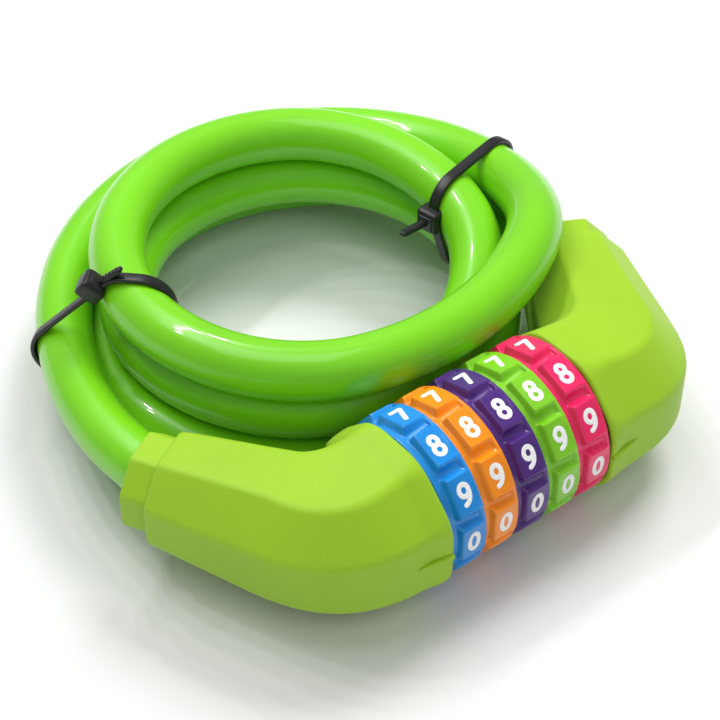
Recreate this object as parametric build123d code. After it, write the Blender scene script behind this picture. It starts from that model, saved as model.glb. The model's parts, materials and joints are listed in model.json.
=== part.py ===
from build123d import *
import math
import os

# ---------------------------------------------------------------- driving dimensions (mm)
AXIS_Z = 17.4          # height of the dial axis over the floor
PITCH = 8.0            # dial to dial
DIALS = 5
RING_W = 7.7           # width of one number ring
RIM_W = 1.5            # low round rim on each ring's left side
RIM_R = 15.6           # rim and valley radius
BAND_W, BAND_R = 0.8, 17.05    # round band on each ring's right side
FACE_R = 16.9          # flat digit face, distance from the axis
BLOCK_TOP = 13.2       # half angle of a digit block at its top
BLOCK_BASE = 16.4      # half angle at its foot
WHEEL_R = 12.0         # brass code wheel
WHEEL_BORE = 7.87
WHEEL_W = 5.2
GATE_W, GATE_R = 3.7, 10.1
BARREL_R, BARREL_BORE = 7.8, 4.30
BARREL_X = (-34.0, 22.2)
SLOT_W = 3.7
BOLT_R = 4.22
BOLT_X = (-26.6, 31.0)
LOBE_W, LOBE_R, LOBE_T = 3.0, 9.6, 1.6
FACE_X = 20.4          # dial end of each housing
BEND = 61.0            # degrees
SIDES = {"left": (-1, 35.5, 34.2), "right": (1, 37.3, 35.2)}   # sign, corner, corner to arm end
COLLAR = 6.0           # collar beyond the arm's end
COLLAR_HW = 9.3
BULGE = {"left": 1.6, "right": 2.5}   # swell on the outside of the bend
CABLE_IN = 9.5         # how far the cable runs inside the arm, back from the arm's end
WALL = 2.0
CABLE_R = 6.0
RING_X, RING_Y = 4.0, 61.0   # centre of the coil
TIE_W, TIE_T, TIE_GAP = 2.8, 1.0, 0.30

# route of the cable: degrees about the coil's centre, radius and height of its centre line
ROUTE = [
    (199.6, 60.9, 17.5), (191.5, 58.9, 17.3), (182, 56.4, 17.0), (171, 54.2, 16.6), (158, 52.7, 16.3),
    (144, 52.3, 16.3), (129, 52.9, 16.5), (113, 53.5, 17.4), (96, 53.8, 18.8), (78, 53.6, 20.2),
    (60, 53.2, 21.5), (42, 52.6, 22.9), (24, 52.1, 24.7), (8, 51.8, 26.6), (-8, 51.3, 28.8),
    (-23, 50.3, 31.6), (-37, 48.7, 34.0), (-51, 46.3, 34.2), (-66, 44.1, 32.8), (-83, 42.6, 31.9),
    (-102, 41.8, 31.6), (-122, 41.5, 31.2), (-144, 40.7, 31.1), (-167, 39.9, 31.0), (-190, 39.6, 30.8),
    (-213, 39.7, 30.7), (-236, 40.4, 30.6), (-259, 40.9, 30.7), (-282, 41.1, 30.6), (-305, 40.9, 30.4),
    (-327, 40.0, 29.6), (-347, 38.7, 28.5), (-365, 38.2, 27.2), (-382, 37.8, 25.5), (-400, 36.8, 23.0),
    (-419, 35.9, 20.5), (-441, 36.5, 18.9), (-465, 37.8, 18.5), (-489, 38.3, 18.4), (-513, 38.0, 18.3),
    (-537, 38.2, 18.3), (-561, 38.6, 18.3), (-585, 39.0, 18.3), (-609, 39.7, 18.3), (-633, 40.4, 18.3),
    (-657, 41.0, 18.2), (-680, 41.5, 17.6), (-702, 42.2, 16.4), (-723, 42.5, 14.4), (-744, 42.1, 12.0),
    (-766, 41.0, 9.4), (-789, 40.1, 7.4), (-812, 39.9, 6.3), (-836, 40.4, 6.05), (-860, 41.0, 6.05),
    (-884, 42.5, 6.75), (-908, 43.8, 7.35), (-932, 44.2, 6.95), (-956, 46.4, 6.25), (-980, 50.4, 6.05),
    (-1003, 53.2, 6.1), (-1024, 54.5, 6.4), (-1043, 54.9, 7.4), (-1060, 55.0, 9.6), (-1075, 55.5, 12.8),
    (-1088, 56.1, 15.8), (-1101, 56.5, 17.3)]
LEAD_ROWS = 6          # stations in each lead, the rest are the coil
# each tie's strap lies in an upright plane: a point on it, its heading, the head, and the tail
LEFT_TIE = ((-41.2, 72.2), 135.0, (0.4, 34.4, 41), (7.0, 10))
RIGHT_TIE = ((50.0, 58.8), 12.0, (-15.9, 26.0, 90), (9.0, -10))

SHIFT = [0.0, 0.0, 0.0]
NODES = {}


def add(name, shape):
    NODES[name] = shape


def cyl(x0, x1, r, y=0.0, z=AXIS_Z):
    """A cylinder along X between two stations."""
    return Pos((x0 + x1) / 2, y, z) * Rot(0, 90, 0) * Cylinder(r, abs(x1 - x0))


def bar(x0, x1, y0, y1, z0, z1):
    return Pos((x0 + x1) / 2, (y0 + y1) / 2, (z0 + z1) / 2) * Box(abs(x1 - x0), abs(y1 - y0), abs(z1 - z0))


def about_axis(shape, degrees):
    """Turn a shape about the dial axis."""
    return Pos(0, 0, AXIS_Z) * Rot(degrees, 0, 0) * Pos(0, 0, -AXIS_Z) * shape


# ---------------------------------------------------------------- number rings and code wheels
def ring_profile():
    """Ten trapezoid blocks round a circle, drawn in the YZ plane with one block at -Y."""
    pts = []
    for k in range(10):
        mid = math.radians(180 + 36 * k)
        top, base = math.radians(BLOCK_TOP), math.radians(BLOCK_BASE)
        for off, rad in ((-base, RIM_R), (-top, FACE_R / math.cos(top)),
                         (top, FACE_R / math.cos(top)), (base, RIM_R)):
            pts.append((rad * math.cos(mid + off), rad * math.sin(mid + off)))
    return pts


def number_ring(x_mid):
    """One number ring: digit blocks, low rim, bore for its code wheel."""
    left, right = x_mid - RING_W / 2, x_mid + RING_W / 2
    plane = Plane(origin=(left + RIM_W, 0, AXIS_Z), x_dir=(0, 1, 0), z_dir=(1, 0, 0))
    wide = extrude(plane * make_face(Polyline(*ring_profile(), close=True)), RING_W - RIM_W)
    edges = [e for e in wide.edges()]
    body = wide
    try:
        body = fillet(edges, 0.32)
    except Exception:
        body = chamfer(wide.edges().filter_by(Axis.X, reverse=True), 0.25)
    body = body + cyl(left, right - 0.4, RIM_R - 0.12) + fillet(cyl(right - BAND_W, right, BAND_R).edges(), 0.2)
    body = body - cyl(left - 1, right + 1, WHEEL_R + 0.02)
    rim = [e for e in body.edges() if e.bounding_box().max.X < left + 0.01
           and e.length > 2 * math.pi * (RIM_R - 0.3) * 0.9]
    return fillet(rim, 0.3) if rim else body


def code_wheel(x_mid):
    """Brass wheel on the barrel: one gate for the bolt, ten detent notches."""
    w0, w1 = x_mid - WHEEL_W / 2, x_mid + WHEEL_W / 2
    body = cyl(w0, w1, WHEEL_R) - cyl(w0 - 1, w1 + 1, WHEEL_BORE)
    body -= bar(w0 - 1, w1 + 1, -GATE_R, 0, AXIS_Z - GATE_W / 2, AXIS_Z + GATE_W / 2)
    notch = cyl(w0 - 1, w1 + 1, 0.98, y=7.55)
    for k in range(10):
        if k != 5:
            body -= about_axis(notch, 36 * k)
    return body


def detent_spring(x_mid):
    """Leaf in the barrel's groove with a bump that clicks into the wheel's notches."""
    leaf = bar(x_mid - 2.5, x_mid + 2.5, 6.68, 7.0, AXIS_Z - 1.2, AXIS_Z + 1.2)
    bump = cyl(x_mid - 1.1, x_mid + 1.1, 0.75, y=7.55)
    neck = bar(x_mid - 1.1, x_mid + 1.1, 6.9, 7.5, AXIS_Z - 0.6, AXIS_Z + 0.6)
    return leaf + bump + neck


dial_x = [(k - (DIALS - 1) / 2) * PITCH for k in range(DIALS)]
ring0, wheel0, leaf0 = number_ring(0), code_wheel(0), detent_spring(0)
for k, x in enumerate(dial_x, start=1):
    add("dial_%d_ring" % k, Pos(x, 0, 0) * ring0)
    add("code_wheel_%d" % k, Pos(x, 0, 0) * wheel0)
    add("detent_spring_%d" % k, Pos(x, 0, 0) * leaf0)

# ---------------------------------------------------------------- barrel, clip, spring, bolt
barrel = cyl(*BARREL_X, BARREL_R) - cyl(BARREL_X[0] + 1.2, BARREL_X[1] + 1, BARREL_BORE)
barrel -= bar(-21.3, BARREL_X[1] + 1, -9, 0, AXIS_Z - SLOT_W / 2, AXIS_Z + SLOT_W / 2)
barrel -= bar(-19.9, 19.9, 6.6, 9, AXIS_Z - 1.35, AXIS_Z + 1.35)
barrel -= cyl(20.55, 21.45, 9) - cyl(20.55, 21.45, 6.9)
add("barrel", barrel)

clip = cyl(20.62, 21.38, 9.5) - cyl(20, 22, 6.95)
clip -= bar(20, 22, -12, 0, AXIS_Z - 2.3, AXIS_Z + 2.3)
add("retaining_clip", clip)

coil_wire = 0.35
spring_path = Helix(pitch=1.5, height=5.1, radius=3.3, center=(0, 0, 0), direction=(0, 0, 1))
spring_section = Plane(origin=spring_path @ 0, z_dir=spring_path % 0) * Circle(coil_wire)
spring = sweep(spring_section, path=spring_path)
add("ejector_spring", Pos(-32.3, 0, AXIS_Z) * Rot(0, 90, 0) * spring)

bolt = cyl(*BOLT_X, BOLT_R)
bolt = chamfer(bolt.edges().sort_by(Axis.X)[0], 0.7)
for x in dial_x:
    lx = x - PITCH / 2
    lobe = bar(lx - LOBE_T / 2, lx + LOBE_T / 2, -LOBE_R, 0, AXIS_Z - LOBE_W / 2, AXIS_Z + LOBE_W / 2)
    tip = lobe.edges().filter_by(Axis.X).sort_by(Axis.Y)[:2]
    bolt += fillet(tip, 0.8)
bolt_pin_hole = Pos(28.0, 0, AXIS_Z) * Cylinder(1.27, 30)
bolt -= bolt_pin_hole
add("bolt", bolt)
add("bolt_cross_pin", Pos(28.0, 0, AXIS_Z) * Cylinder(1.25, 20))

# ---------------------------------------------------------------- housings
COS_B, SIN_B = math.cos(math.radians(BEND)), math.sin(math.radians(BEND))


def arm_point(side, along, up=0.0):
    """A point on the arm's axis; both housings are drawn on the left and the right one is mirrored."""
    return (-SIDES[side][1] - COS_B * along, SIN_B * along, AXIS_Z + up)


def section(point, heading, outer, inner, up, soft, top=0.41, crown=0.0):
    """Eight-sided section square to the housing's axis: half sizes outwards, inwards and up.

    crown lowers the upper half a little."""
    plane = Plane(origin=point, x_dir=(-math.sin(heading), math.cos(heading), 0),
                  z_dir=(math.cos(heading), math.sin(heading), 0))
    side = 0.41 * up
    pts = [(outer, side), (top * outer, up), (-top * inner, up), (-inner, side)]
    pts = [(x, y - crown * (1.0 if y > side else 0.4)) for x, y in pts] + [(x, -y) for x, y in reversed(pts)]
    face = make_face(Polyline(*pts, close=True))
    return plane * fillet(face.vertices(), soft)


def housing_loft(side, inset, end):
    """Bent tapering body from its dial end to a station on its arm."""
    corner = SIDES[side][1]
    arm = SIDES[side][2]
    pivot = 17.6
    reach = pivot * math.tan(math.radians(BEND / 2))
    cx, cy = -corner + reach, pivot
    rows = [((-FACE_X, 0, AXIS_Z), 180, 17.42, 16.85, 17.45, 9.5, 0.41, 0.8),
            ((-FACE_X - 1.6, 0, AXIS_Z), 180, 17.1, 16.6, 17.43, 7.0, 0.42, 0.8),
            ((-FACE_X - 3.2, 0, AXIS_Z), 180, 16.75, 16.3, 16.95, 4.6, 0.44, 0.8)]
    steps = 8
    for step in range(steps + 1):
        f = step / steps
        g = 1 - (1 - f)**1.6
        turn = BEND * f
        a = math.radians(turn)
        outer = 16.35 - 2.25 * g + BULGE[side] * math.sin(math.pi * f)**1.3
        rows.append(((cx - pivot * math.sin(a), cy - pivot * math.cos(a), AXIS_Z), 180 - turn,
                     outer, 15.9 - 2.2 * g - 0.35 * math.sin(math.pi * f), 16.4 - 3.0 * g, 3.2 - f,
                     0.45 + 0.08 * math.sin(math.pi * f), 0.8 * (1 - f)**1.2))
    f = (end - reach) / (arm - reach)
    rows.append((arm_point(side, end), 180 - BEND, 14.1 - 2.7 * f, 13.7 - 2.3 * f, 13.4 - 2.5 * f, 2.0, 0.42, 0.0))
    faces = [section(p, math.radians(h), o - inset, i - inset, u - inset, max(0.8, s - inset * 0.4), t, c)
             for p, h, o, i, u, s, t, c in rows]
    return loft(faces, ruled=True)


def along_arm(side, a0, a1, r):
    """A cylinder on the arm's axis between two stations of the arm."""
    mid = arm_point(side, (a0 + a1) / 2)
    return Plane(origin=mid, x_dir=(0, 0, 1), z_dir=(-COS_B, SIN_B, 0)) * Cylinder(r, a1 - a0)


def make_boot(side):
    arm = SIDES[side][2]
    heading = math.radians(180 - BEND)
    lip = loft([section(arm_point(side, arm - 0.9), heading, 11.4, 11.4, 10.9, 2.0, 0.42),
                section(arm_point(side, arm), heading, 10.6, 10.6, 10.1, 1.7, 0.42)], ruled=True)
    cavity = housing_loft(side, WALL, arm - WALL)
    rib = bar(-FACE_X - 6.8, -FACE_X, -18.3, -15.0, AXIS_Z - 0.9, AXIS_Z + 0.9)
    rib = fillet(rib.faces().sort_by(Axis.Y)[0].edges(), 0.6)
    under = bar(-50, -FACE_X + 1, -20, 20, -5, 0)
    return (housing_loft(side, 0, arm - 0.9) + lip + rib) - cavity - along_arm(side, arm - 5, arm + 2, 8.3) - under


def make_core(side):
    arm = SIDES[side][2]
    body = housing_loft(side, WALL + 0.06, arm - WALL - 0.06)
    body -= along_arm(side, arm - 22.5, arm + 2, 6.63)
    body -= along_arm(side, arm - 4.6, arm + 2, 8.3)
    return body - Pos(*arm_point(side, arm - 15, 8)) * Cylinder(1.65, 16)


def make_collar(side):
    arm = SIDES[side][2]
    plane = Plane(origin=arm_point(side, arm), x_dir=(SIN_B, COS_B, 0), z_dir=(-COS_B, SIN_B, 0))
    octagon = RegularPolygon(COLLAR_HW / math.cos(math.pi / 8), 8, rotation=22.5)
    sleeve = extrude(plane * fillet(octagon.vertices(), 1.6), COLLAR)
    sleeve = fillet(sleeve.faces().sort_by(Axis.Y)[-1].edges(), 0.35)
    sleeve = sleeve + along_arm(side, arm - 4, arm + 1, 8.25)
    mouth = Plane(origin=arm_point(side, arm + 1), x_dir=(0, 0, 1), z_dir=(-COS_B, SIN_B, 0))
    return sleeve - mouth * Cone(CABLE_R + 0.15, 8.75, COLLAR * 2 - 2 + 0.6)


def make_crimp(side):
    """Ferrule round the steel rope, the rope's end, and the screw that holds the ferrule."""
    arm = SIDES[side][2]
    back = arm - CABLE_IN
    ferrule = along_arm(side, arm - 22, back - 0.1, 6.6) - along_arm(side, arm - 23, back + 1, 2.25)
    ferrule -= Pos(*arm_point(side, arm - 15, 6.1)) * Cylinder(1.6, 7)
    screw = Pos(*arm_point(side, arm - 15, 6.3)) * Cylinder(1.55, 7.0)
    return {"ferrule": ferrule, "set_screw": screw, "wire_core": along_arm(side, arm - 21.6, back, 2.2)}


for side in SIDES:
    parts = {"boot": make_boot(side), "core": make_core(side), "collar": make_collar(side), **make_crimp(side)}
    if side == "right":
        parts = {name: mirror(shape, about=Plane.YZ) for name, shape in parts.items()}
        parts["core"] -= cyl(10, 23.2, 10.4)
        parts["core"] -= cyl(10, BOLT_X[1] + 0.2, BOLT_R + 0.03)
        parts["core"] -= Pos(28.0, 0, AXIS_Z) * Cylinder(1.28, 20.4)
    else:
        parts["core"] -= cyl(BARREL_X[0] - 0.05, -10, BARREL_R + 0.03)
        parts["core"] -= cyl(-23.0, -10, 10.4)
    for name, shape in parts.items():
        add(side + "_" + name, shape)


# ---------------------------------------------------------------- cable
def route_corners():
    """The route's corner points, pushed out so that the runs between them touch the centre line."""
    out = []
    for i, (deg, r, z) in enumerate(ROUTE):
        before, after = ROUTE[max(0, i - 1)][0], ROUTE[min(len(ROUTE) - 1, i + 1)][0]
        grow = 1 / math.cos(math.radians((before - after) / 4))
        a = math.radians(deg)
        out.append(Vector(RING_X + r * grow * math.cos(a), RING_Y + r * grow * math.sin(a), z))
    return out


def tube_path(points):
    """Straight runs joined by tangent arcs; each arc takes 0.45 of the shorter run next to it."""
    edges, radii = [], []
    here = points[0]
    for a, b, c in zip(points, points[1:], points[2:]):
        u, v = (b - a), (c - b)
        cut = 0.47 * min(u.length, v.length)
        un, vn = u.normalized(), v.normalized()
        bend = math.acos(max(-1, min(1, un.dot(vn))))
        if bend < 0.004:
            edges.append(Line(here, b))
            here = b
            continue
        rad = cut / math.tan(bend / 2)
        radii.append(rad)
        start, stop = b - un * cut, b + vn * cut
        inward = (vn - un).normalized()
        mid = b + inward * (rad / math.cos(bend / 2) - rad)
        edges.append(Line(here, start))
        edges.append(ThreePointArc(start, mid, stop))
        here = stop
    edges.append(Line(here, points[-1]))
    return Wire(edges), radii


def tube(points, r=CABLE_R):
    wire, radii = tube_path(points)
    plane = Plane(origin=wire @ 0, z_dir=wire % 0)
    solid = sweep(plane * Circle(r), path=wire)
    length = wire.length
    return solid, length, radii, solid.volume / (math.pi * r**2 * length)


def housing_end(side, back):
    x, y, z = arm_point(side, SIDES[side][2] + back)
    return Vector(x if side == "left" else -x, y, z)


corners = route_corners()
lead_left = [housing_end("left", -CABLE_IN), housing_end("left", 0.5)] + corners[:LEAD_ROWS]
lead_right = corners[-LEAD_ROWS:] + [housing_end("right", 0.5), housing_end("right", -CABLE_IN)]
coil = corners[LEAD_ROWS:-LEAD_ROWS]
split_left, split_right = (lead_left[-1] + coil[0]) / 2, (coil[-1] + lead_right[0]) / 2
runs = {"cable_lead_left": lead_left + [split_left], "cable_coil": [split_left] + coil + [split_right],
        "cable_lead_right": [split_right] + lead_right}
total = 0
for name, pts in runs.items():
    solid, length, radii, ratio = tube(pts)
    total += length
    print("%s length %.1f mm, arc radii %.1f to %.1f mm, volume ratio %.4f"
          % (name, length, min(radii), max(radii), ratio))
    add(name, solid)
print("cable length %.1f mm" % total)
room = {name: tube(pts, CABLE_R + 0.06)[0] for name, pts in runs.items()}   # the cable with a little air round it
for side in SIDES:
    NODES[side + "_collar"] -= room["cable_lead_" + side]


# ---------------------------------------------------------------- cable ties
def crossings(at, heading):
    """Where the cable passes the upright plane: distance along the plane, height, and slant factor."""
    a = math.radians(heading)
    out_dir, normal = Vector(math.cos(a), math.sin(a), 0), Vector(-math.sin(a), math.cos(a), 0)
    line = runs["cable_lead_left"][1:-1] + coil + runs["cable_lead_right"][1:-1]
    middles = [(p + q) / 2 for p, q in zip(line, line[1:])]
    found = []
    for p, corner, q in zip(middles, line[1:], middles[1:]):
        dp, dq = (p - Vector(*at, 0)).dot(normal), (q - Vector(*at, 0)).dot(normal)
        if dp * dq > 0 or (p - Vector(*at, 0)).dot(out_dir) < -35:
            continue
        t = dp / (dp - dq)
        here = p * (1 - t)**2 + corner * (2 * t * (1 - t)) + q * t**2
        slant = abs((q - p).normalized().dot(normal))
        found.append(((here - Vector(*at, 0)).dot(out_dir), here.Z, slant))
    return found


def tie(at, heading, head_at, tail):
    """A strap round the turns that pass its plane, its head, and the cut tail."""
    a = math.radians(heading)
    plane = Plane(origin=(at[0], at[1], 0), x_dir=(math.cos(a), math.sin(a), 0),
                  z_dir=(math.sin(a), -math.cos(a), 0))
    spots = crossings(at, heading)
    print("tie passes", [(round(u, 1), round(z, 1), round(s, 3)) for u, z, s in spots])

    def hull(radius):
        rings = []
        for u, z, slant in spots:
            spread = CABLE_R / slant - CABLE_R + 0.05 + TIE_W / 4 * math.sqrt(1 - slant**2) / slant
            rings += [Pos(u - spread, z) * Edge.make_circle(radius), Pos(u + spread, z) * Edge.make_circle(radius)]
        return make_hull(rings)
    outer, inner = hull(CABLE_R + TIE_GAP + TIE_T), hull(CABLE_R + TIE_GAP)
    strap = extrude(plane * (outer - inner), TIE_W / 2, both=True)
    u, z, turn = head_at
    head = plane * Pos(u, z, 0) * Rot(0, 0, turn) * fillet(Box(5.4, 4.4, 5.6).edges(), 0.5)
    length, lean = tail
    strip = plane * Pos(u, z, 0) * Rot(0, 0, turn + lean) * Pos(0, 2 + length / 2 - 0.5, 0) * \
        Box(TIE_T, length, TIE_W * 0.8)
    return (strap + head + strip) - extrude(plane * inner, 10, both=True)


add("left_tie", tie(*LEFT_TIE) - room["cable_coil"] - room["cable_lead_left"])
add("right_tie", tie(*RIGHT_TIE) - room["cable_coil"] - room["cable_lead_right"])

# ---------------------------------------------------------------- frame and export
cords = ("cable", "left_tie", "right_tie")
boxes = [s.bounding_box() for n, s in NODES.items() if not n.startswith(cords)]
lo = [min(getattr(b.min, c) for b in boxes) for c in "XYZ"]
hi = [max(getattr(b.max, c) for b in boxes) for c in "XYZ"]
SHIFT = [-(lo[0] + hi[0]) / 2, -(lo[1] + hi[1]) / 2, 0.0]
print("shift applied:", [round(v, 4) for v in SHIFT], "head size", [round(h - l, 2) for l, h in zip(lo, hi)])
os.makedirs("parts", exist_ok=True)
for name, shape in NODES.items():
    moved = Pos(*SHIFT) * shape
    if len(moved.solids()) != 1:
        print("NOTE", name, "has", len(moved.solids()), "solids")
    export_step(moved if len(moved.solids()) > 1 else moved.solid(), "parts/%s.step" % name)
print(len(NODES), "nodes")
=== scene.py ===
"""Combination cable lock: cable, housings, ties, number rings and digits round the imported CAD."""
import json
import math
import bpy
from mathutils import Vector, Matrix


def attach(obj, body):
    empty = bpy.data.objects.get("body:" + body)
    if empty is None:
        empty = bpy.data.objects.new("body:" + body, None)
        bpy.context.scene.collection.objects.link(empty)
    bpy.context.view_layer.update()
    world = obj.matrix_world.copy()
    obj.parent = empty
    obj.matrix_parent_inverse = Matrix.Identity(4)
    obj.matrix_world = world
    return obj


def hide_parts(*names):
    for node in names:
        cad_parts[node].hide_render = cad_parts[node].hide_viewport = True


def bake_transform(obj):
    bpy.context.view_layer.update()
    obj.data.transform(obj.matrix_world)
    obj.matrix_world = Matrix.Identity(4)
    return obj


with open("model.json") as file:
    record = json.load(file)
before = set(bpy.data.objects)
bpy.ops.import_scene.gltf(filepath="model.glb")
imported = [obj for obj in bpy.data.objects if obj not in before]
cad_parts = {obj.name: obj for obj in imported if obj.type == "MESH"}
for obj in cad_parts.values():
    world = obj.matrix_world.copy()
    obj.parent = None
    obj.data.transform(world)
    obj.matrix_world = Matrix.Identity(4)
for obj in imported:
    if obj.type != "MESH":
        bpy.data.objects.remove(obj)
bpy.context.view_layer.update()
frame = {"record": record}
MM = 0.001

# ---------------------------------------------------------------- dimensions (mm, as in the CAD source)
SHIFT_X, SHIFT_Y = -1.1424, -11.0586     # puts the head's base rectangle on the origin
AXIS_Z = 17.4
PITCH = 8.0
RING_W, RIM_W, RIM_R, FACE_R = 7.7, 1.5, 15.6, 16.9
FACE_X = 20.4
BEND = 61.0
SIDES = {"left": (-1, 35.5, 34.2), "right": (1, 37.3, 35.2)}
BULGE = {"left": 1.6, "right": 2.5}
WALL, COLLAR, COLLAR_HW = 2.0, 6.0, 9.3
CABLE_IN, CABLE_R, MOUTH = 9.5, 6.0, 0.5
RING_X, RING_Y = 4.0, 61.0
LEAD_ROWS = 6
ROUTE = [
    (199.6, 60.9, 17.5), (191.5, 58.9, 17.3), (182, 56.4, 17.0), (171, 54.2, 16.6), (158, 52.7, 16.3),
    (144, 52.3, 16.3), (129, 52.9, 16.5), (113, 53.5, 17.4), (96, 53.8, 18.8), (78, 53.6, 20.2),
    (60, 53.2, 21.5), (42, 52.6, 22.9), (24, 52.1, 24.7), (8, 51.8, 26.6), (-8, 51.3, 28.8),
    (-23, 50.3, 31.6), (-37, 48.7, 34.0), (-51, 46.3, 34.2), (-66, 43.8, 33.1), (-83, 42.2, 32.4),
    (-102, 41.6, 32.0), (-122, 41.4, 31.4), (-144, 40.7, 31.1), (-167, 39.9, 31.0), (-190, 39.6, 30.8),
    (-213, 39.7, 30.7), (-236, 40.4, 30.6), (-259, 40.9, 30.7), (-282, 41.1, 30.6), (-305, 40.9, 30.4),
    (-327, 40.0, 29.6), (-347, 38.7, 28.5), (-365, 38.2, 27.2), (-382, 37.8, 25.5), (-400, 36.8, 23.0),
    (-419, 35.9, 20.5), (-441, 36.5, 18.9), (-465, 37.8, 18.5), (-489, 38.3, 18.4), (-513, 38.0, 18.3),
    (-537, 38.2, 18.3), (-561, 38.6, 18.3), (-585, 39.0, 18.3), (-609, 39.7, 18.3), (-633, 40.4, 18.3),
    (-657, 41.0, 18.2), (-680, 41.5, 17.6), (-702, 42.2, 16.4), (-723, 42.5, 14.4), (-744, 42.1, 12.0),
    (-766, 41.0, 9.4), (-789, 40.1, 7.4), (-812, 39.9, 6.3), (-836, 40.4, 6.05), (-860, 41.0, 6.05),
    (-884, 42.5, 6.75), (-908, 43.8, 7.35), (-932, 44.2, 6.95), (-956, 46.4, 6.25), (-980, 50.4, 6.05),
    (-1003, 53.2, 6.1), (-1024, 54.5, 6.4), (-1043, 54.9, 7.4), (-1060, 55.0, 9.6), (-1075, 55.5, 12.8),
    (-1088, 56.1, 15.8), (-1101, 56.5, 17.3)]
LEFT_TIE = ((-41.2, 72.2), 135.0, (0.4, 34.4, 41), (7.0, 10))
RIGHT_TIE = ((50.0, 58.8), 12.0, (-15.9, 26.0, 90), (9.0, -10))
TIE_W, TIE_T, TIE_GAP = 2.6, 0.95, 0.16
DIAL_COLOURS = ["blue", "orange", "purple", "lime", "pink"]


def P(x, y, z):
    """Millimetres in the drawing's frame to metres in the shared frame."""
    return Vector(((x + SHIFT_X) * MM, (y + SHIFT_Y) * MM, z * MM))


# ---------------------------------------------------------------- camera
ELEVATION, AZIMUTH = 42.0, -38.2
DISTANCE, PAN, TILT = 365.7, -22.9, 31.8   # mm from the head to the lens, and aside
FLOOR_DROP = 0.2                           # mm from the model down to the floor
e, a = math.radians(ELEVATION), math.radians(AZIMUTH)
back = Vector((math.sin(a) * math.cos(e), -math.cos(a) * math.cos(e), math.sin(e)))
right = Vector((math.cos(a), math.sin(a), 0))
up = back.cross(right)
cam_data = bpy.data.cameras.new("camera")
cam = bpy.data.objects.new("camera", cam_data)
bpy.context.scene.collection.objects.link(cam)
cam_data.lens, cam_data.sensor_width = 90.0, 36.0
cam_data.clip_start, cam_data.clip_end = 0.01, 20.0
eye = back * DISTANCE + right * PAN + up * TILT + Vector((SHIFT_X, SHIFT_Y, -FLOOR_DROP))
cam.matrix_world = Matrix.Translation(eye * MM) @ Matrix((right, up, back)).transposed().to_4x4()
bpy.context.scene.camera = cam
bpy.context.scene.view_settings.view_transform = "Standard"


# ---------------------------------------------------------------- mesh helpers
def link(name, verts, faces, smooth=True):
    mesh = bpy.data.meshes.new(name)
    mesh.from_pydata([tuple(v) for v in verts], [], faces)
    mesh.validate()
    if smooth:
        mesh.shade_smooth()
    obj = bpy.data.objects.new(name, mesh)
    bpy.context.scene.collection.objects.link(obj)
    return obj


def skin(rings, closed_ends=(True, True)):
    """Quads between rings of equal count; optional end faces."""
    n = len(rings[0])
    verts = [p for ring in rings for p in ring]
    faces = []
    for i in range(len(rings) - 1):
        for k in range(n):
            faces.append((i * n + k, i * n + (k + 1) % n, (i + 1) * n + (k + 1) % n, (i + 1) * n + k))
    if closed_ends[0]:
        faces.append(tuple(reversed(range(n))))
    if closed_ends[1]:
        faces.append(tuple((len(rings) - 1) * n + k for k in range(n)))
    return verts, faces


def join(parts):
    verts, faces = [], []
    for v, f in parts:
        base = len(verts)
        verts += list(v)
        faces += [tuple(i + base for i in face) for face in f]
    return verts, faces


def tube_rings(points, radius, sides=64):
    """Round rings along points, with a frame carried along so that they do not twist."""
    rings, ref = [], Vector((0, 0, 1))
    for i, p in enumerate(points):
        t = (points[min(i + 1, len(points) - 1)] - points[max(i - 1, 0)]).normalized()
        u = (ref - t * ref.dot(t)).normalized()
        v = t.cross(u)
        ref = u
        angles = [2 * math.pi * k / sides for k in range(sides)]
        rings.append([p + (u * math.cos(a) + v * math.sin(a)) * radius for a in angles])
    return rings


# ---------------------------------------------------------------- cable
def arm_point(side, along):
    """A point on the axis of a housing's arm."""
    sign, corner, _ = SIDES[side]
    c, s = math.cos(math.radians(BEND)), math.sin(math.radians(BEND))
    return (sign * (corner + c * along), s * along, AXIS_Z)


def route_corners():
    """The route's control points, pushed out so that the runs between them touch it."""
    out = []
    for i, (deg, r, z) in enumerate(ROUTE):
        before, after = ROUTE[max(0, i - 1)][0], ROUTE[min(len(ROUTE) - 1, i + 1)][0]
        grow = 1 / math.cos(math.radians((before - after) / 4))
        ang = math.radians(deg)
        out.append(P(RING_X + r * grow * math.cos(ang), RING_Y + r * grow * math.sin(ang), z))
    return out


def housing_end(side, beyond):
    """The centre of an arm's end, or a point beyond it."""
    return P(*arm_point(side, SIDES[side][2] + beyond))


corners = [housing_end("left", -CABLE_IN), housing_end("left", MOUTH), *route_corners(),
           housing_end("right", MOUTH), housing_end("right", -CABLE_IN)]
route = bpy.data.curves.new("route", "CURVE")
route.dimensions = "3D"
route.resolution_u = 14
spline = route.splines.new("NURBS")
spline.points.add(len(corners) - 1)
for point, co in zip(spline.points, corners):
    point.co = (*co, 1)
spline.order_u = 3
spline.use_endpoint_u = True
route_obj = bpy.data.objects.new("route", route)
bpy.context.scene.collection.objects.link(route_obj)
line = bpy.data.meshes.new_from_object(route_obj)
path = [v.co.copy() for v in line.vertices]
bpy.data.objects.remove(route_obj)
bpy.data.meshes.remove(line)
join_at = corners[-3 - LEAD_ROWS]
cut = min(range(len(path) // 2, len(path)), key=lambda i: (path[i] - join_at).length)


def run_length(points):
    return sum((q - p).length for p, q in zip(points, points[1:]))


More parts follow.
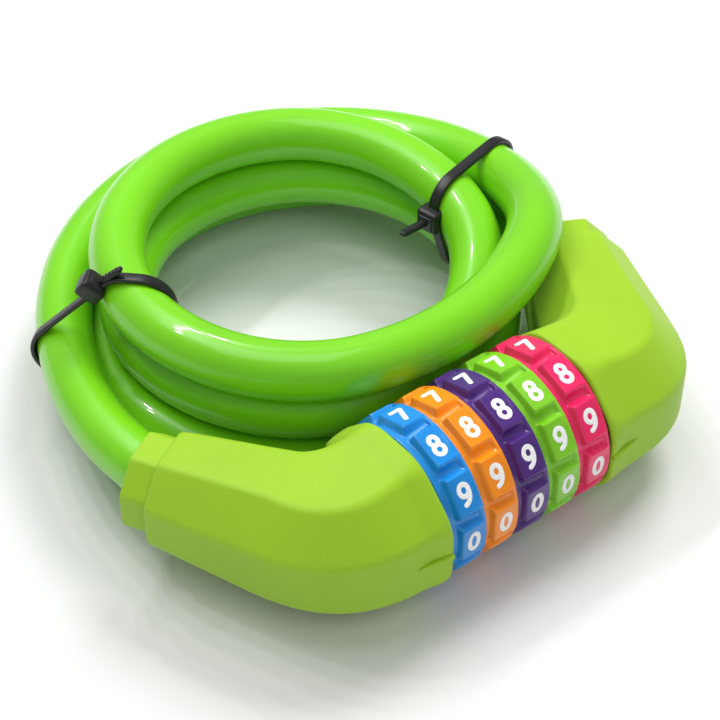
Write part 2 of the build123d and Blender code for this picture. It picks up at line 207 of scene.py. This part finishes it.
main_path, lead_path = path[:cut + 1], list(reversed(path[cut:]))
cable_rings = tube_rings(path, CABLE_R * MM)
cable = link("cable_main", *skin(cable_rings[:cut + 1], (True, False)))
lead = link("cable_lead", *skin([ring[::-1] for ring in reversed(cable_rings[cut:])], (True, False)))
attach(cable, "lock_body")
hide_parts("cable_lead_left", "cable_coil")
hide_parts("cable_lead_right")
tuple(lead_path[-1])
tuple(lead_path[0])
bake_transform(lead)
run_length(main_path)
[tuple(p) for p in main_path]
run_length(lead_path)
[tuple(p) for p in lead_path]


# ---------------------------------------------------------------- materials
def material(name, colour, rough, **extra):
    mat = bpy.data.materials.new(name)
    mat.use_nodes = True
    nodes, links = mat.node_tree.nodes, mat.node_tree.links
    bsdf = nodes["Principled BSDF"]
    bsdf.inputs["Base Color"].default_value = (*colour, 1)
    bsdf.inputs["Roughness"].default_value = rough
    for key, value in extra.items():
        bsdf.inputs[key.replace("_", " ")].default_value = value
    return mat, nodes, links, bsdf


def noise(nodes, links, scale, detail=3.0, rough=0.5):
    coords = nodes.new("ShaderNodeTexCoord")
    tex = nodes.new("ShaderNodeTexNoise")
    tex.inputs["Scale"].default_value = scale
    tex.inputs["Detail"].default_value = detail
    tex.inputs["Roughness"].default_value = rough
    links.new(coords.outputs["Object"], tex.inputs["Vector"])
    return tex


def vary_colour(nodes, links, bsdf, tex, low, high):
    ramp = nodes.new("ShaderNodeValToRGB")
    ramp.color_ramp.elements[0].position, ramp.color_ramp.elements[1].position = 0.3, 0.7
    ramp.color_ramp.elements[0].color, ramp.color_ramp.elements[1].color = (*low, 1), (*high, 1)
    links.new(tex.outputs["Fac"], ramp.inputs["Fac"])
    links.new(ramp.outputs["Color"], bsdf.inputs["Base Color"])


def vary_rough(nodes, links, bsdf, tex, low, high):
    span = nodes.new("ShaderNodeMapRange")
    span.inputs["To Min"].default_value, span.inputs["To Max"].default_value = low, high
    links.new(tex.outputs["Fac"], span.inputs["Value"])
    links.new(span.outputs["Result"], bsdf.inputs["Roughness"])


def bump(nodes, links, bsdf, tex, strength, distance):
    node = nodes.new("ShaderNodeBump")
    node.inputs["Strength"].default_value = strength
    node.inputs["Distance"].default_value = distance
    links.new(tex.outputs["Fac"], node.inputs["Height"])
    links.new(node.outputs["Normal"], bsdf.inputs["Normal"])


def shade(colour, k):
    return tuple(min(1.0, c * k) for c in colour)


def vinyl():
    colour = (0.185, 0.600, 0.010)
    mat, n, l, b = material("cable_vinyl", colour, 0.30, IOR=1.42, Coat_Weight=0.45, Coat_Roughness=0.035,
                            Subsurface_Weight=0.05, Subsurface_Scale=0.003)
    b.inputs["Subsurface Radius"].default_value = (0.6, 1.0, 0.15)
    wide = noise(n, l, 22.0, 2.0)
    vary_colour(n, l, b, wide, shade(colour, 0.93), shade(colour, 1.05))
    fine = noise(n, l, 900.0, 2.0)
    vary_rough(n, l, b, wide, 0.26, 0.36)
    bump(n, l, b, fine, 0.05, 0.0002)
    return mat


def soft_touch():
    colour = (0.300, 0.530, 0.018)
    mat, n, l, b = material("housing_soft_touch", colour, 0.52, IOR=1.42, Sheen_Weight=0.05, Sheen_Roughness=0.5,
                            Subsurface_Weight=0.04, Subsurface_Scale=0.002)
    wide = noise(n, l, 30.0, 3.0)
    vary_colour(n, l, b, wide, shade(colour, 0.95), shade(colour, 1.04))
    vary_rough(n, l, b, wide, 0.47, 0.58)
    bump(n, l, b, noise(n, l, 2600.0, 2.0, 0.6), 0.22, 0.00012)
    return mat


def gloss_plastic(name, colour):
    mat, n, l, b = material(name, colour, 0.24, IOR=1.5, Coat_Weight=0.25, Coat_Roughness=0.08,
                            Subsurface_Weight=0.05, Subsurface_Scale=0.0015)
    wide = noise(n, l, 90.0, 3.0)
    vary_colour(n, l, b, wide, shade(colour, 0.92), shade(colour, 1.06))
    vary_rough(n, l, b, wide, 0.20, 0.33)
    bump(n, l, b, noise(n, l, 1400.0, 2.0), 0.06, 0.0001)
    return mat


def nylon():
    mat, n, l, b = material("tie_nylon", (0.010, 0.010, 0.011), 0.38, IOR=1.52)
    vary_rough(n, l, b, noise(n, l, 300.0, 3.0), 0.30, 0.50)
    bump(n, l, b, noise(n, l, 1500.0, 2.0), 0.15, 0.0001)
    return mat


def metal(name, colour, low, high, stretch=(1, 1, 1)):
    mat, n, l, b = material(name, colour, (low + high) / 2, Metallic=1.0)
    tex = noise(n, l, 500.0, 4.0)
    mapping = n.new("ShaderNodeMapping")
    mapping.inputs["Scale"].default_value = stretch
    l.new(tex.inputs["Vector"].links[0].from_socket, mapping.inputs["Vector"])
    l.new(mapping.outputs["Vector"], tex.inputs["Vector"])
    vary_rough(n, l, b, tex, low, high)
    bump(n, l, b, tex, 0.12, 0.0001)
    return mat


def ink():
    mat, n, l, b = material("digit_ink", (0.90, 0.90, 0.90), 0.40, IOR=1.48)
    wide = noise(n, l, 400.0, 3.0)
    vary_colour(n, l, b, wide, (0.84, 0.84, 0.85), (0.93, 0.93, 0.93))
    return mat


VINYL, SOFT, NYLON, INK = vinyl(), soft_touch(), nylon(), ink()
DIALS = {"blue": gloss_plastic("dial_blue", (0.008, 0.245, 0.680)),
         "orange": gloss_plastic("dial_orange", (0.930, 0.270, 0.006)),
         "purple": gloss_plastic("dial_purple", (0.070, 0.020, 0.190)),
         "lime": gloss_plastic("dial_lime", (0.200, 0.560, 0.016)),
         "pink": gloss_plastic("dial_pink", (0.810, 0.018, 0.120))}
STEEL = metal("steel", (0.56, 0.57, 0.58), 0.18, 0.34, (0.15, 1, 1))
SPRING = metal("spring_steel", (0.50, 0.50, 0.52), 0.15, 0.28)
BRASS = metal("brass", (0.78, 0.56, 0.22), 0.20, 0.36)
ZINC = metal("zinc", (0.45, 0.45, 0.46), 0.38, 0.55)
cable.data.materials.append(VINYL)
lead.data.materials.append(VINYL)

BY_SLOT = {"cable_green": VINYL, "housing_green": SOFT, "tie_black": NYLON, "steel": STEEL, "zinc": ZINC,
           "brass": BRASS, "spring_steel": SPRING, **{"dial_" + k: v for k, v in DIALS.items()}}
for row in frame["record"]["subparts"]:
    node = bpy.data.objects.get(row["node"])
    if node is None:
        continue
    if not node.material_slots:
        node.data.materials.append(None)
    for slot in node.material_slots:
        slot.material = BY_SLOT[row["material_slot"]]


# ---------------------------------------------------------------- housings
PIVOT = 17.6                                # radius of the bend's centre line
FACET = 0.41                                # height of the side facet's edge, of the half height
BORE = (8.25, 8.25, 8.2, 1.8, 0.42)         # the arm's hole: half widths, half height, corners, top facet
DIAL_MOUTH = (15.1, 14.7, 15.1, 7.6, 0.41, 0.8)


def section(side, point, heading, outer, inner, height, soft, top, crown=0.0, count=7):
    """Outline of the eight-sided section with rounded corners, in the shared frame."""
    sign = SIDES[side][0]
    h = math.radians(heading)
    across = (-math.sin(h), math.cos(h))
    s = FACET * height
    pts = [(outer, s), (top * outer, height), (-top * inner, height), (-inner, s)]
    pts = [(x, y - crown * (1.0 if y > s else 0.4)) for x, y in pts] + [(x, -y) for x, y in reversed(pts)]
    ring = []
    for k, corner in enumerate(pts):
        c = Vector(corner)
        u = Vector(pts[k - 1]) - c
        v = Vector(pts[(k + 1) % len(pts)]) - c
        angle = u.angle(v)
        trim = min(soft / math.tan(angle / 2), 0.49 * u.length, 0.49 * v.length)
        radius = trim * math.tan(angle / 2)
        centre = c + (u.normalized() + v.normalized()).normalized() * (radius / math.sin(angle / 2))
        start, stop = c + u.normalized() * trim - centre, c + v.normalized() * trim - centre
        sweep = start.angle(stop)
        for j in range(count):
            w = j / (count - 1) * sweep
            ring.append(centre + (start * math.sin(sweep - w) + stop * math.sin(w)) / math.sin(sweep))
    out = []
    for q in ring:
        x, y = point[0] + q.x * across[0], point[1] + q.x * across[1]
        out.append(P(-sign * x, y, max(0.0, point[2] + q.y)))
    return out if sign < 0 else list(reversed(out))


def housing_rows(side):
    """Sections of a left-hand housing from the dials to the arm's end; section() mirrors the right one."""
    _, corner, arm = SIDES[side]
    reach = PIVOT * math.tan(math.radians(BEND / 2))
    cx, cy = -corner + reach, PIVOT

    def arm_at(along):
        c, s = math.cos(math.radians(BEND)), math.sin(math.radians(BEND))
        return (-corner - c * along, s * along, AXIS_Z)

    rows = [((-FACE_X, 0, AXIS_Z), 180, 16.7, 16.2, 16.7, 9.8, 0.41, 0.8),
            ((-FACE_X - 0.15, 0, AXIS_Z), 180, 17.15, 16.6, 17.15, 9.8, 0.41, 0.8)]
    # distance from the dials, then the half widths outside and inside the bend, and the corners' radius
    straight = [(0.4, 17.34, 16.8, 17.38, 9.6), (0.9, 17.26, 16.75, 17.34, 8.3), (1.6, 17.08, 16.6, 17.2, 6.6),
                (2.4, 16.9, 16.45, 17.02, 5.2), (3.2, 16.74, 16.3, 16.86, 4.4), (4.0, 16.54, 16.1, 16.64, 3.8)]
    for d, o, i, u, s in straight:
        rows.append(((-FACE_X - d, 0, AXIS_Z), 180, o, i, u, s, 0.41 + 0.01 * d, 0.8))
    steps = 24
    for step in range(steps + 1):
        f = step / steps
        g = 1 - (1 - f)**1.6
        turn = BEND * f
        t = math.radians(turn)
        outer = 16.35 - 2.25 * g + BULGE[side] * math.sin(math.pi * f)**1.3
        rows.append(((cx - PIVOT * math.sin(t), cy - PIVOT * math.cos(t), AXIS_Z), 180 - turn,
                     outer, 15.9 - 2.2 * g - 0.35 * math.sin(math.pi * f), 16.4 - 3.0 * g, 3.4 - f,
                     0.45 + 0.08 * math.sin(math.pi * f), 0.8 * (1 - f)**1.2))
    for step in range(1, 9):
        f = step / 8
        along = reach + (arm - 0.9 - reach) * f
        rows.append((arm_at(along), 180 - BEND,
                     14.1 - 2.7 * f, 13.7 - 2.3 * f, 13.4 - 2.5 * f, 2.2, 0.45 - 0.03 * f))
    for d, shrink in ((0.55, 0.12), (0.25, 0.35), (0.08, 0.62), (0.0, 0.9)):
        rows.append((arm_at(arm - d), 180 - BEND, 11.4 - shrink, 11.4 - shrink, 10.9 - shrink, 2.0, 0.42))
    rows.append((arm_at(arm), 180 - BEND, 8.3, 8.3, 8.2, 1.8, 0.42))
    return rows


def index_rib(side):
    """Slim raised mark in line with the set code."""
    sign = SIDES[side][0]
    rings = []
    x0, x1 = FACE_X + 0.1, FACE_X + 7.6
    for x, k in [(x0, 0.2), (x0 + 0.2, 0.8), (x0 + 0.7, 1.0),
                 (x1 - 3.2, 0.85), (x1 - 1.6, 0.55), (x1 - 0.5, 0.25), (x1, 0.04)]:
        base, proud, half = -17.3 + (x - x0) * 0.13, 0.75 * k, 0.35 + 0.35 * k
        angles = [math.pi * j / 12 for j in range(13)]
        ring = [P(sign * x, base - proud * math.sin(a)**0.7, AXIS_Z + half * math.cos(a)) for a in angles]
        ring += [P(sign * x, base + 1.2, AXIS_Z - half * 0.6), P(sign * x, base + 1.2, AXIS_Z + half * 0.6)]
        rings.append(ring if sign > 0 else list(reversed(ring)))
    return skin(rings)


def build_housing(side):
    """A hollow moulding with its raised mark: the outside, the arm's open end, the inside and the dial end."""
    rows = housing_rows(side)
    rings = [section(side, *row) for row in rows]
    rings.append(section(side, *rows[-1][:2], *BORE))
    inner = [(p, h, o - WALL, i - WALL, u - WALL, max(0.8, s - 1.2), t, *c)
             for p, h, o, i, u, s, t, *c in rows[2:-6]]
    rings.append(section(side, *inner[-1][:2], *BORE))
    rings += [section(side, *row) for row in reversed(inner)]
    rings.append(section(side, *rows[0][:2], *DIAL_MOUTH))
    body = link(side + "_housing", *join([skin(rings + [rings[0]], (False, False)), index_rib(side)]))
    body.data.materials.append(SOFT)
    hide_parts(side + "_boot")
    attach(body, "lock_body" if side == "left" else "plug")


for side in SIDES:
    build_housing(side)


# ---------------------------------------------------------------- cable ties
TIE_REACH = 35.0        # turns further behind a tie's point than this are not in it
STRAP_STEPS = 220
HEAD_STACK = [(-2.2, 0.55), (-2.05, 0.80), (-1.7, 0.97), (-1.2, 1.0), (0.9, 1.0), (1.5, 0.98), (1.95, 0.85),
              (2.15, 0.62)]             # place along the head, and scale
COLLAR_STACK = [(1.6, 1.0), (2.35, 1.0), (2.5, 0.9)]


def convex(points):
    """The points' convex outline, in order."""
    pts = sorted(points)

    def half(seq):
        out = []
        for p in seq:
            while len(out) > 1 and (out[-1][0] - out[-2][0]) * (p[1] - out[-2][1]) \
                    - (out[-1][1] - out[-2][1]) * (p[0] - out[-2][0]) <= 1e-9:
                out.pop()
            out.append(p)
        return out[:-1]
    return [Vector(p) for p in half(pts) + half(pts[::-1])]


def even(loop, count):
    """Points at even spacing round a closed loop."""
    closed = loop + [loop[0]]
    total = sum((q - p).length for p, q in zip(closed, closed[1:]))
    out, want, done = [], 0.0, 0.0
    for p, q in zip(closed, closed[1:]):
        step = (q - p).length
        while want <= done + step - 1e-9 and len(out) < count:
            out.append(p.lerp(q, (want - done) / step))
            want += total / count
        done += step
    return out


def rounded(width, thick, bevel, n=4):
    """Rounded rectangle, width across and thick out."""
    out = []
    for cx, cy, a0 in ((1, 1, 0), (-1, 1, 90), (-1, -1, 180), (1, -1, 270)):
        for k in range(n):
            t = math.radians(a0 + 90 * k / (n - 1))
            out.append((cx * (width / 2 - bevel) + bevel * math.cos(t),
                        cy * (thick / 2 - bevel) + bevel * math.sin(t)))
    return out


def build_tie(name, at, heading, head_at, tail):
    """A strap drawn tight round the turns that cross an upright plane, with its head and ribbed tail."""
    h = math.radians(heading)
    along, normal = Vector((math.cos(h), math.sin(h), 0)), Vector((math.sin(h), -math.cos(h), 0))
    origin = Vector((*at, 0))

    def to3(u, z, w=0.0):
        return P(*(origin + along * u + normal * w + Vector((0, 0, z))))

    mm_path = [Vector((p.x / MM - SHIFT_X, p.y / MM - SHIFT_Y, p.z / MM)) for p in path]
    spots = []
    for p, q in zip(mm_path, mm_path[1:]):
        dp, dq = (p - origin).dot(normal), (q - origin).dot(normal)
        if (dp > 0) != (dq > 0):
            here = p.lerp(q, dp / (dp - dq))
            if (here - origin).dot(along) > -TIE_REACH:
                spots.append(((here - origin).dot(along), here.z, abs((q - p).normalized().dot(normal))))
    cloud = []
    for u, z, slant in spots:
        spread = CABLE_R / slant - CABLE_R + 0.05
        for k in range(72):
            t = 2 * math.pi * k / 72
            cloud += [(u + s * spread + (CABLE_R + TIE_GAP) * math.cos(t), z + (CABLE_R + TIE_GAP) * math.sin(t))
                      for s in (-1, 1)]
    loop = even(convex(cloud), STRAP_STEPS)
    rings, n = [], len(loop)
    outline = rounded(TIE_W, TIE_T, 0.32)
    for i, p in enumerate(loop):
        t = (loop[(i + 1) % n] - loop[i - 1]).normalized()
        out = Vector((t.y, -t.x))
        rings.append([to3(*(p + out * (TIE_T / 2 + y)), x) for x, y in outline])
    m = len(outline)
    verts = [v for ring in rings for v in ring]
    faces = [(i * m + k, i * m + (k + 1) % m, (i + 1) % n * m + (k + 1) % m, (i + 1) % n * m + k)
             for i in range(n) for k in range(m)]
    parts = [(verts, faces)]
    u, z, turn = head_at
    c, s = math.cos(math.radians(turn)), math.sin(math.radians(turn))

    def head_point(x, y, w):
        return to3(u + c * x - s * y, z + s * x + c * y, w)

    for (width, depth, bevel, n_), stack in (((5.3, 5.5, 0.7, 5), HEAD_STACK), ((3.4, 3.9, 0.4, 4), COLLAR_STACK)):
        parts.append(skin([[head_point(x * k, y, w * k) for x, w in rounded(width, depth, bevel, n_)]
                           for y, k in stack]))
    length, lean = tail
    cl, sl = math.cos(math.radians(turn + lean)), math.sin(math.radians(turn + lean))

    def tail_point(x, y, w):
        return to3(u + cl * x - sl * y, z + sl * x + cl * y, w)

    rows = [(1.2, 1.0), (1.5 + length * 0.5, 0.97), (1.5 + length - 1.2, 0.92), (1.5 + length - 0.5, 0.8),
            (1.5 + length, 0.55)]
    parts.append(skin([[tail_point(x * min(1, k + 0.2), y, w * k) for w, x in rounded(TIE_W * 0.8, TIE_T, 0.3, 4)]
                       for y, k in rows]))
    ribs = []
    for k in range(int(length / 0.9)):
        y = 2.6 + 0.9 * k
        if y < 0.5 + length:
            ribs.append(skin([[tail_point(0.45 + x, y + d, w) for w, x in rounded(TIE_W * 0.5, 0.3, 0.1, 3)]
                              for d in (-0.2, 0.2)]))
    obj = link(name + "_strap", *join(parts + ribs))
    obj.data.materials.append(NYLON)
    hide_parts(name)
    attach(obj, "lock_body")


build_tie("left_tie", *LEFT_TIE)
build_tie("right_tie", *RIGHT_TIE)


# ---------------------------------------------------------------- number rings
BLOCK_TOP, BLOCK_BASE = 13.2, 16.6      # degrees from a block's middle to its top edge and its foot
BAND_W, BAND_R, WHEEL_R = 0.8, 17.05, 12.02
RING_STEPS = 720


def ease(v, lo, hi):
    """0 below lo, 1 above hi, smooth between."""
    t = min(1.0, max(0.0, (v - lo) / (hi - lo)))
    return t * t * (3 - 2 * t)


def ring_radius(deg, x):
    """Height of a number ring's surface: ten flat blocks, a low rim on the left, a round band on the right."""
    off = (deg + 18) % 36 - 18
    flat = min(FACE_R / math.cos(math.radians(off)), FACE_R / math.cos(math.radians(BLOCK_TOP)) - 0.06)
    valley = RIM_R + 0.75 * ease(x, RIM_W, RING_W - BAND_W)
    block = valley + (flat - valley) * (1 - ease(abs(off), BLOCK_TOP - 0.9, BLOCK_BASE + 0.2))
    r = RIM_R + (block - RIM_R) * ease(x, RIM_W - 0.15, RIM_W + 0.75)
    band = ease(x, RING_W - BAND_W - 0.35, RING_W - BAND_W + 0.2)
    r = r + (max(BAND_R, r * 0.4 + BAND_R * 0.6) - r) * band
    edge = min(x, RING_W - x)
    return r - 0.30 * (1 - math.sqrt(max(0.0, 1 - (1 - min(1.0, edge / 0.30))**2)))


def ring_mesh(x_left):
    """A number ring as one closed skin: its bore, then its surface from left to right."""
    stations = [0, 0.04, 0.12, 0.22, 0.34, 0.8, 1.2, 1.4, 1.55, 1.7, 1.85, 2.0, 2.15, 2.3, 3.0, 4.0, 5.0, 6.0, 6.45,
                6.6, 6.75, 6.9, 7.05, 7.15, 7.36, 7.48, 7.58, 7.66, 7.70]

    def circle(x, radius):
        degrees = [360 * k / RING_STEPS for k in range(RING_STEPS)]
        return [P(x_left + x, -radius(d) * math.cos(math.radians(d)), AXIS_Z + radius(d) * math.sin(math.radians(d)))
                for d in degrees]

    def bore(deg):
        return WHEEL_R

    surface = [circle(x, lambda deg, x=x: ring_radius(deg, x)) for x in stations]
    return skin([circle(0, bore), *surface, circle(RING_W, bore), circle(0, bore)], (False, False))


for k, colour in enumerate(DIAL_COLOURS):
    shell = link("dial_%d_numbers_ring" % (k + 1), *ring_mesh((k - 2) * PITCH - RING_W / 2))
    shell.data.materials.append(DIALS[colour])
    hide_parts("dial_%d_ring" % (k + 1))
    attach(shell, "dial_%d" % (k + 1))


# ---------------------------------------------------------------- digits
def arc(cx, cy, rx, ry, a0, a1, n=14):
    return [(cx + rx * math.cos(math.radians(a0 + (a1 - a0) * i / n)),
             cy + ry * math.sin(math.radians(a0 + (a1 - a0) * i / n))) for i in range(n + 1)]


STROKES = {   # centre lines in a box 1 wide and 1.5 high, centred
    0: [arc(0, 0, 0.44, 0.70, 0, 360, 32)],
    1: [[(-0.28, 0.42), (0.06, 0.70), (0.06, -0.70)]],
    2: [arc(0, 0.32, 0.42, 0.38, 165, -20, 16) + [(-0.44, -0.70), (0.46, -0.70)]],
    3: [arc(-0.02, 0.34, 0.40, 0.36, 150, -90, 18) + arc(-0.02, -0.36, 0.44, 0.36, 90, -150, 18)],
    4: [[(0.22, -0.70), (0.22, 0.70), (-0.46, -0.26), (0.48, -0.26)]],
    5: [[(0.38, 0.70), (-0.32, 0.70), (-0.38, 0.10)] + arc(0, -0.24, 0.44, 0.44, 130, -150, 18)],
    6: [arc(0, -0.28, 0.42, 0.42, 0, 360, 26), arc(0.36, -0.10, 0.78, 0.82, 100, 190, 12)],
    7: [[(-0.42, 0.70), (0.44, 0.70), (-0.12, -0.70)]],
    8: [arc(0, 0.36, 0.36, 0.34, 0, 360, 24), arc(0, -0.34, 0.43, 0.38, 0, 360, 26)],
    9: [arc(0, 0.28, 0.42, 0.42, 0, 360, 26), arc(-0.36, 0.10, 0.78, 0.82, -80, 10, 12)]}
DIGIT_W, DIGIT_H, STROKE = 2.45, 2.80, 0.50
INK_H, LAYER_H = 0.06, 0.012        # height of the ink, and of each stroke above the last
STROKE_STEP, DOT_STEPS = 0.25, 20
RIBBON = [(-1.0, 0.0), (-0.96, 0.75), (-0.80, 1.0), (0.80, 1.0), (0.96, 0.75), (1.0, 0.0)]


def dot_mesh(x, y, place, width, height):
    """A round end or corner of a stroke."""
    dot = []
    for k in range(DOT_STEPS):
        t = 2 * math.pi * k / DOT_STEPS
        dot += [place(x + math.cos(t) * width * w, y + math.sin(t) * width * w, height * h)
                for w, h in ((1.0, 0.0), (0.96, 0.75), (0.80, 1.0))]
    faces = []
    for k in range(DOT_STEPS):
        j = (k + 1) % DOT_STEPS
        faces += [(k * 3 + r, j * 3 + r, j * 3 + r + 1, k * 3 + r + 1) for r in range(2)]
        faces.append((k * 3 + 2, j * 3 + 2, len(dot)))
    return dot + [place(x, y, height)], faces


def stroke_mesh(points, place, width, height):
    """A flat rounded ribbon of ink along one stroke, with dots at its ends and sharp corners."""
    pts = [Vector(p) for p in points]
    closed = (pts[0] - pts[-1]).length < 1e-6
    fine = []
    for p, q in zip(pts, pts[1:]):
        count = max(1, int((q - p).length / STROKE_STEP))
        fine += [p.lerp(q, i / count) for i in range(count)]
    fine.append(pts[-1])
    rings = []
    for i, p in enumerate(fine):
        if closed:
            t = fine[(i + 1) % (len(fine) - 1)] - fine[(i - 1) % (len(fine) - 1)]
        else:
            t = fine[min(i + 1, len(fine) - 1)] - fine[max(i - 1, 0)]
        t.normalize()
        n = Vector((-t.y, t.x))
        rings.append([place(*(p + n * (width * s)), height * h) for s, h in RIBBON])
    m = len(RIBBON)
    faces = [(i * m + k, i * m + k + 1, (i + 1) * m + k + 1, (i + 1) * m + k)
             for i in range(len(rings) - 1) for k in range(m - 1)]
    parts = [([p for ring in rings for p in ring], faces)]
    ends = [] if closed else [points[0], points[-1]]
    bends = points[1:-1] if len(points) < 12 else []
    height += 0.005
    for x, y in ends + bends:
        height += 0.002         # no two lids at one height
        parts.append(dot_mesh(x, y, place, width, height))
    return join(parts)


for k, colour in enumerate(DIAL_COLOURS):
    x_mid = (k - 2) * PITCH + RIM_W / 2 + 0.05
    parts = []
    for digit in range(10):
        a_mid = math.radians(90 - 36 * ((10 - digit) % 10))   # from +Z towards -Y

        def place(u, v, h, a_mid=a_mid, x_mid=x_mid):
            out = Vector((-math.sin(a_mid), math.cos(a_mid)))      # y, z of the face's outward direction
            tall = Vector((math.cos(a_mid), math.sin(a_mid)))      # y, z of the digit's up direction
            y = out.x * (FACE_R + h) + tall.x * v
            z = out.y * (FACE_R + h) + tall.y * v
            return P(x_mid + u, y, AXIS_Z + z)
        for layer, points in enumerate(STROKES[digit]):
            scaled = [(x * DIGIT_W, y * DIGIT_H) for x, y in points]
            parts.append(stroke_mesh(scaled, place, STROKE, INK_H + LAYER_H * layer))
    numbers = link("dial_%d_digits" % (k + 1), *join(parts))
    numbers.data.materials.append(INK)
    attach(numbers, "dial_%d" % (k + 1))

# ---------------------------------------------------------------- floor and light
floor = link("floor", [(-3, -3, 0), (3, -3, 0), (3, 3, 0), (-3, 3, 0)], [(0, 1, 2, 3)], smooth=False)
floor.location.z = -FLOOR_DROP * MM
floor_mat, fn, fl, fb = material("floor_paper", (0.74, 0.74, 0.74), 0.75)
floor.data.materials.append(floor_mat)

world = bpy.data.worlds.new("studio")
bpy.context.scene.world = world
world.use_nodes = True
world.node_tree.nodes["Background"].inputs["Color"].default_value = (1.0, 1.0, 1.0, 1)
world.node_tree.nodes["Background"].inputs["Strength"].default_value = 0.30


def lamp(name, where, aim, size, power, size_y=None):
    data = bpy.data.lights.new(name, "AREA")
    data.shape, data.size, data.size_y = "RECTANGLE", size, size_y or size
    data.energy = power
    obj = bpy.data.objects.new(name, data)
    bpy.context.scene.collection.objects.link(obj)
    obj.location = where
    obj.rotation_euler = (Vector(aim) - Vector(where)).to_track_quat("-Z", "Y").to_euler()
    return obj


key = lamp("key", (0.75, 0.35, 1.05), (0.02, 0.02, 0.01), 0.55, 12.5)
front = lamp("front", (-0.35, -0.85, 1.10), (0.0, 0.02, 0.01), 0.9, 5.0)
lamp("overhead", (-0.2, 0.25, 1.35), (0.0, 0.05, 0.01), 0.8, 4.5)
key.visible_glossy = front.visible_glossy = False
for i in range(5):
    lamp("spark_%d" % i, (-0.30 + 0.13 * i, 0.42 + 0.035 * i, 0.72), (0, 0.03, 0.02), 0.035, 0.55)
